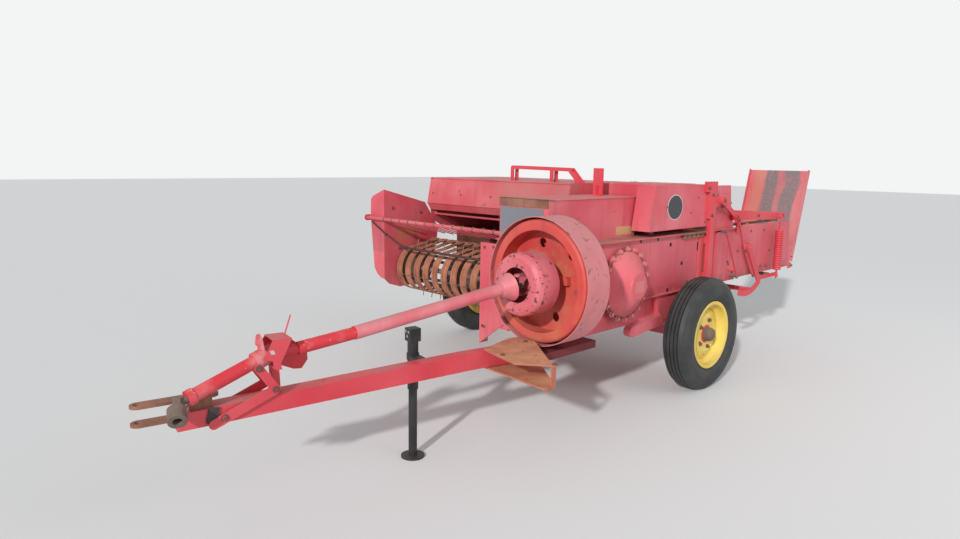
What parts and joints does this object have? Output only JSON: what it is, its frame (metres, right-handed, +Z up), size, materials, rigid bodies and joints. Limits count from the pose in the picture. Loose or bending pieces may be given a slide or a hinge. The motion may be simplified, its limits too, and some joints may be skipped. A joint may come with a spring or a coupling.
{
  "type": "square baler",
  "caption": "Towed square hay baler with side pickup, covered flywheel, plunger chamber, knotters, folding chute and a swinging tongue on its jack",
  "frame": {"origin": "on the ground, under the middle of the machine's bounding box", "axes": "+Z up; +Y towards the bale chute, so the hitch is at -Y; +X is the machine's left side and the pickup is at -X"},
  "size_m": [2.43, 5.0296, 1.344],
  "materials": {
    "faded_red": "sun-faded red enamel, chalky, rust at the edges",
    "bright_red": "red enamel, rust at the edges",
    "rusty_steel": "brown surface rust",
    "dark_iron": "dark grease and dust",
    "worn_steel": "bare steel, dull",
    "yellow_rim": "yellow enamel, faded",
    "tyre_rubber": "weathered rubber",
    "black_paint": "black enamel"
  },
  "bodies": {
    "baler": {"left_side_plate": "faded_red", "right_side_plate": "faded_red", "chamber_floor": "faded_red", "chamber_top": "faded_red", "bale_rails": "rusty_steel", "tension_arms": "bright_red", "tension_springs": "bright_red", "front_plate": "faded_red", "frame_beams": "faded_red", "axle_beam": "faded_red", "gearbox": "dark_iron", "gear_cover": "faded_red", "flywheel_hoop": "faded_red", "drive_box": "faded_red", "twine_box": "faded_red", "feeder_hood": "faded_red", "feed_deck": "rusty_steel", "feeder_linkage": "faded_red", "packer_forks": "rusty_steel", "tongue_quadrant": "rusty_steel", "knotter_stand": "faded_red", "knotter_frame": "faded_red", "knotters": "worn_steel", "measuring_bracket": "faded_red"},
    "plunger": {"plunger": "dark_iron"},
    "flywheel": {"flywheel": "bright_red", "flywheel_drum": "faded_red"},
    "left_wheel": {"left_rim": "yellow_rim", "left_tyre": "tyre_rubber"},
    "right_wheel": {"right_rim": "yellow_rim", "right_tyre": "tyre_rubber"},
    "twine_lid": {"twine_lid": "faded_red"},
    "pickup": {"pickup_frame": "faded_red", "pickup_strippers": "rusty_steel"},
    "pickup_reel": {"pickup_reel": "worn_steel"},
    "windguard": {"windguard": "faded_red"},
    "tongue": {"tongue_beam": "faded_red", "hitch_straps": "rusty_steel", "shaft_stand": "bright_red", "shaft_guards": "faded_red", "drive_joint": "dark_iron", "front_yoke": "dark_iron", "jack_sleeve": "black_paint"},
    "jack_leg": {"jack_leg": "black_paint"},
    "needle_yoke": {"needle_yoke": "bright_red"},
    "measuring_wheel": {"measuring_wheel": "worn_steel"},
    "bale_chute": {"bale_chute": "faded_red"}
  },
  "joints": [
    {"name": "plunger_stroke", "type": "slide", "parent": "baler", "child": "plunger", "axis": [0, 1, 0], "range_m": [-0.3, 0.46]},
    {"name": "flywheel_spin", "type": "hinge", "parent": "baler", "child": "flywheel", "pos_m": [0.823, -0.5861, 0.787], "axis": [0, 1, 0], "continuous": true},
    {"name": "left_wheel_spin", "type": "hinge", "parent": "baler", "child": "left_wheel", "pos_m": [1.012, 0.6289, 0.346], "axis": [1, 0, 0], "continuous": true},
    {"name": "right_wheel_spin", "type": "hinge", "parent": "baler", "child": "right_wheel", "pos_m": [-0.977, 0.6289, 0.346], "axis": [1, 0, 0], "continuous": true},
    {"name": "twine_lid_hinge", "type": "hinge", "parent": "baler", "child": "twine_lid", "pos_m": [0.409, 0.5899, 1.245], "axis": [0, -1, 0], "range_deg": [0, 100]},
    {"name": "pickup_lift", "type": "hinge", "parent": "baler", "child": "pickup", "pos_m": [-0.377, 0.4489, 0.52], "axis": [1, 0, 0], "range_deg": [0, 30]},
    {"name": "reel_spin", "type": "hinge", "parent": "pickup", "child": "pickup_reel", "pos_m": [-0.377, -0.0111, 0.575], "axis": [1, 0, 0], "continuous": true},
    {"name": "windguard_float", "type": "hinge", "parent": "pickup", "child": "windguard", "pos_m": [-0.377, -0.2961, 0.945], "axis": [1, 0, 0], "range_deg": [0, 45]},
    {"name": "tongue_swing", "type": "hinge", "parent": "baler", "child": "tongue", "pos_m": [0.823, -0.8461, 0.456], "axis": [0, 0, 1], "range_deg": [0, 31]},
    {"name": "jack_slide", "type": "slide", "parent": "tongue", "child": "jack_leg", "axis": [0, 0, 1], "range_m": [0, 0.22]},
    {"name": "needle_swing", "type": "hinge", "parent": "baler", "child": "needle_yoke", "pos_m": [0.623, 1.4589, 0.8], "axis": [-1, 0, 0], "range_deg": [0, 52]},
    {"name": "measuring_spin", "type": "hinge", "parent": "baler", "child": "measuring_wheel", "pos_m": [0.623, 1.6139, 1.031], "axis": [1, 0, 0], "continuous": true},
    {"name": "chute_fold", "type": "hinge", "parent": "baler", "child": "bale_chute", "pos_m": [0.623, 2.2939, 0.593], "axis": [-1, 0, 0], "range_deg": [0, 80]}
  ]
}
